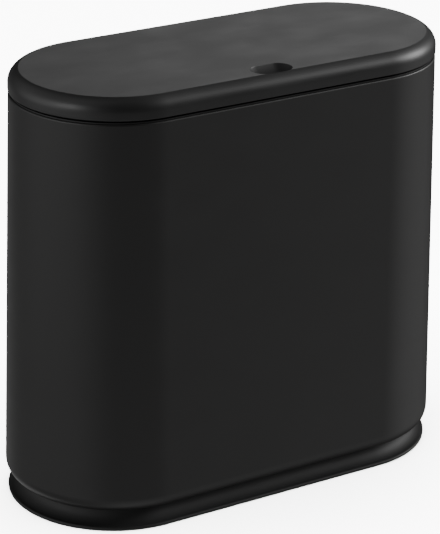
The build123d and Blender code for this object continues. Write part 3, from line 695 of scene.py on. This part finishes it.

# %% [markdown]
# ## Moulded plastics
#
# Moulded plastic copies its mould. The lid's mould was spark eroded, which gives an even, fine,
# dull grain. The foot is the dullest and darkest moulding of all and shows hardly any light. The
# latch is pale and the smoothest, because it has to slide. Handling polishes a grained surface in
# soft patches and leaves a few hair scratches, and those are seen only in the gloss. Each moulding
# could have a material written for it, but they differ in numbers only, so all are one recipe.

# %% The lid, the foot and the inner mouldings
# Painted shade: the grey that the thumb dish is painted, darker than the lid around it.
DISH_SHADE = grey(0.005)


def eroded(name, dark, light, rough, grain_size=0.35, depth=0.010, polish=0.06, pressed=0.0):
    """Grained plastic. Grain size and depth are in mm; pressed is how much duller the dish is."""
    plastic = Finish(name)
    grain = plastic.noise(grain_size * MM, detail=3.0)
    cloud = plastic.noise(45 * MM, detail=3.0)
    hands = plastic.noise(26 * MM, detail=4.0, stretch=(1.6, 1, 1))
    patch = patches(hands, contrast=2.6, cut=1.0)
    streaks = plastic.noise(1.1 * MM, detail=1.0, stretch=(30, 1, 1))
    hair = patches(streaks, contrast=9, cut=6.2)
    colour = plastic.blend(limited(cloud * 0.7 + grain * 0.3), dark, light)
    roughness = rough + grain * 0.05 - patch * polish - hair * 0.05
    if pressed:
        # Painted shade: the dish's colour is blended towards a darker grey. Its roughness also rises.
        thumb = in_dish(plastic)
        colour = plastic.blend(thumb, colour, DISH_SHADE)
        roughness = roughness + thumb * pressed
    plastic.feed(Base_Color=colour, Roughness=roughness)
    plastic.bump(grain - hair * 0.15, depth * MM)
    return plastic.material


FINISHES["lid_plastic"] = eroded("lid_grain", grey(0.013), grey(0.018), 0.40, pressed=0.24)
FINISHES["foot_plastic"] = eroded(
    "foot_matt", grey(0.008), grey(0.012), 0.64, grain_size=0.5, polish=0.03)
FINISHES["frame_plastic"] = eroded("frame_grain", grey(0.014), grey(0.019), 0.48)
FINISHES["bucket_plastic"] = eroded(
    "bucket_grain", grey(0.035), grey(0.045), 0.50, grain_size=0.5, depth=0.014)
FINISHES["latch_plastic"] = eroded(
    "latch_smooth", grey(0.30, 0.02), grey(0.36, 0.02), 0.36, grain_size=0.5, depth=0.004)
print("mouldings:", *sorted(name for name in FINISHES if name.endswith("plastic")))

# %% [markdown]
# ## Rubber and steel
#
# Rubber pads are dull, and dust sits in them. Screws, pins and springs are zinc plated: bright,
# with a grey bloom in patches where the plating is thicker, and fine lines from drawing the wire.
# A plain grey would do from afar. Close to, the patches and lines are what tells plating from
# paint, so both are made of noise, stretched for the lines.

# %% Rubber and plated steel
CLEAN_RUBBER = grey(0.012)
DUSTY_RUBBER = grey(0.03, 0.04)
ZINC = (0.62, 0.62, 0.60, 1)
ZINC_BLOOM = (0.46, 0.46, 0.47, 1)


def soft_rubber():
    rubber = Finish("soft_rubber")
    dust = patches(rubber.noise(2.5 * MM, detail=4.0), contrast=2.2, cut=0.9)
    rubber.feed(Base_Color=rubber.blend(dust, CLEAN_RUBBER, DUSTY_RUBBER))
    rubber.feed(Roughness=0.72 + dust * 0.2)
    rubber.bump(rubber.noise(0.4 * MM, detail=2.0), depth=0.02 * MM)
    return rubber.material


def plated_steel():
    steel = Finish("plated_steel", metallic=1.0)
    bloom = patches(steel.noise(3 * MM, detail=3.0), contrast=2, cut=0.6)
    drawn = steel.noise(0.3 * MM, detail=2.0, stretch=(12, 12, 1))
    steel.feed(Base_Color=steel.blend(bloom, ZINC, ZINC_BLOOM))
    steel.feed(Roughness=0.24 + bloom * 0.18 + drawn * 0.06)
    steel.bump(drawn, depth=0.004 * MM)
    return steel.material


FINISHES["rubber"] = soft_rubber()
FINISHES["steel"] = plated_steel()
print("finishes:", *sorted(FINISHES))

# %% [markdown]
# ## Dress every piece
#
# What a surface looks like follows from what the piece is made of. Every piece could be matched with
# a colour in a list here, but the record already names its material. So each solid takes the finish
# of that name, and the three fine meshes take the finish of the solid that they stand in for.

# %% Give each piece its finish
def dress(piece, finish):
    piece.data.materials.clear()
    piece.data.materials.append(finish)


SLOT_OF = {entry["node"]: entry["material_slot"] for entry in frame["record"]["subparts"]}
for node, solid in frame["nodes"].items():
    dress(solid, FINISHES[SLOT_OF[node]])
dress(sleeve, FINISHES["sleeve_paint"])
dress(foot, FINISHES["foot_plastic"])
dress(lid, FINISHES["lid_plastic"])
print("dressed", len(frame["nodes"]) + 3, "pieces")

# %% [markdown]
# ## The floor
#
# The bin stands on a wide pale floor. A white floor right under a black bin would turn its lower
# half grey, so the bin doesn't mirror it, and the floor doesn't hold back the light that comes up
# from below. It is lit by a lamp of its own, which is large and hangs high, so that the floor is
# evenly bright far out and the bin's shadow on it is soft.

# %% Floor and its lamp
FLOOR_REACH = 6.0
FLOOR_PALE = grey(0.86)
FLOOR_ROUGHNESS = 0.6
LAMP_HEIGHT = 8.0
LAMP_SIZE = 9.0
LAMP_POWER = 11500


def make_floor():
    reach = FLOOR_REACH
    corners = [(-reach, -reach, 0), (reach, -reach, 0), (reach, reach, 0), (-reach, reach, 0)]
    floor = new_piece("floor", corners, [(0, 1, 2, 3)])
    pale = Finish("pale_floor", base_color=FLOOR_PALE, roughness=FLOOR_ROUGHNESS)
    dress(floor, pale.material)
    floor.visible_diffuse = False
    floor.visible_glossy = False
    floor.visible_shadow = False
    return floor


def light_floor(floor):
    """A large lamp overhead that lights the floor and nothing else."""
    light = bpy.data.lights.new("floor_lamp", "AREA")
    light.size = LAMP_SIZE
    light.energy = LAMP_POWER
    lamp = bpy.data.objects.new("floor_lamp", light)
    lamp.location = (0, 0, LAMP_HEIGHT)
    bpy.context.scene.collection.objects.link(lamp)
    lit = bpy.data.collections.new("lit_by_floor_lamp")
    lit.objects.link(floor)
    lamp.light_linking.receiver_collection = lit


light_floor(make_floor())
print("floor", 2 * FLOOR_REACH, "m wide, lamp at", LAMP_HEIGHT, "m")

# %% [markdown]
# ## The room
#
# A dark satin object shows its surroundings more than its own colour, so the room is drawn as soft
# patches of light. Lamps with softboxes would do, but patches in the world's background can be
# placed by direction alone and add no objects.
#
# Each patch has four numbers: the direction round the bin in degrees, with 0 to the right, 90
# behind it and 270 in front; the height above the horizon in degrees; the strength; and how tight
# the patch is, where 14 is broad and 60 is narrow. Three narrow, strong softboxes draw the lines
# of light along the lid's edge. Broad, weak patches at table and floor height light the sides and
# leave the long front dark. The backdrop is what the flat top mirrors. The camera itself sees an
# even, pale room.

# %% Patches of light, written as sums of nodes
SOFT_LIGHTS = {
    "floor, front": (270, -60, 1.0, 14),
    "table, front": (262, -25, 0.35, 14),
    "table, left": (210, -25, 0.66, 14),
    "table, right": (330, -25, 0.9, 14),
    "table, far right": (8, -22, 0.4, 60),
    "table, back": (90, -25, 0.3, 14),
    "floor, back": (90, -62, 1.6, 14),
    "wall, left": (180, 5, 1.1, 14),
    "wall, back left": (150, 5, 1.3, 14),
    "backdrop": (53, 22, 1.4, 60),
    "window, right": (0, 35, 1.2, 14),
    "window, back": (120, 35, 0.5, 14),
    "ceiling, left": (180, 62, 0.7, 14),
    "softbox, right": (345, 20, 20.0, 60),
    "softbox, front right": (330, 28, 6.8, 60),
    "softbox, left": (190, 20, 6.0, 60),
}
SEEN_ROOM = 4.6


def towards(turned, raised):
    flat = cos(radians(raised))
    return (cos(radians(turned)) * flat, sin(radians(turned)) * flat, sin(radians(raised)))


def make_room():
    world = bpy.data.worlds.new("studio")
    bpy.context.scene.world = world
    world.use_nodes = True
    room = Graph(world.node_tree)
    looking = room.node("ShaderNodeTexCoord", {}, {}, "Generated")
    total = 0.0
    for turned, raised, strength, tightness in SOFT_LIGHTS.values():
        ends = {0: looking, 1: towards(turned, raised)}
        facing = room.node("ShaderNodeVectorMath", {"operation": "DOT_PRODUCT"}, ends, "Value")
        near = facing.maths("MAXIMUM", facing, 0.0)
        total = total + near ** tightness * strength
    by_eye = room.node("ShaderNodeLightPath", {}, {}, "Is Camera Ray")
    shining = total * (1 - by_eye) + by_eye * SEEN_ROOM
    background = room.tree.nodes["Background"]
    background.inputs["Color"].default_value = (1, 1, 1, 1)
    room.tree.links.new(shining.socket, background.inputs["Strength"])


make_room()
print("room:", len(SOFT_LIGHTS), "soft lights")

# %% [markdown]
# ## Camera
#
# The photograph was taken from well back with a long lens, which keeps the sides of the bin nearly
# parallel. The camera stands about 1.85 m from the middle of the bin, looks down by 22 degrees and
# is turned 32 degrees round to the left end. It is also rolled by just under one degree. A
# constraint could aim it at the bin, but wouldn't hold the roll. So its axes are worked out from
# the three angles, which are given in radians.

# %% Place the camera
CAMERA_SPOT = (-0.91776, -1.44434, 0.84807)
TURNED = -0.56463
RAISED = 0.38899
ROLLED = 0.01572
LENS = 176.5
SENSOR_WIDTH = 36
NEAREST_SEEN = 0.05


def make_camera():
    ahead = Vector((-sin(TURNED) * cos(RAISED), cos(TURNED) * cos(RAISED), -sin(RAISED)))
    right = Vector((cos(TURNED), sin(TURNED), 0))
    up = right.cross(ahead)
    across = cos(ROLLED) * right + sin(ROLLED) * up
    upward = -sin(ROLLED) * right + cos(ROLLED) * up
    lens = bpy.data.cameras.new("camera")
    lens.lens = LENS
    lens.sensor_width = SENSOR_WIDTH
    lens.clip_start = NEAREST_SEEN
    camera = bpy.data.objects.new("camera", lens)
    turn = Matrix((across, upward, -ahead)).transposed().to_4x4()
    camera.matrix_world = Matrix.Translation(CAMERA_SPOT) @ turn
    bpy.context.scene.collection.objects.link(camera)
    bpy.context.scene.camera = camera


make_camera()
bin_middle = Vector((0, 0, SLEEVE_HIGH.z / 2))
print("camera", round((Vector(CAMERA_SPOT) - bin_middle).length, 2), "m from the middle of the bin")
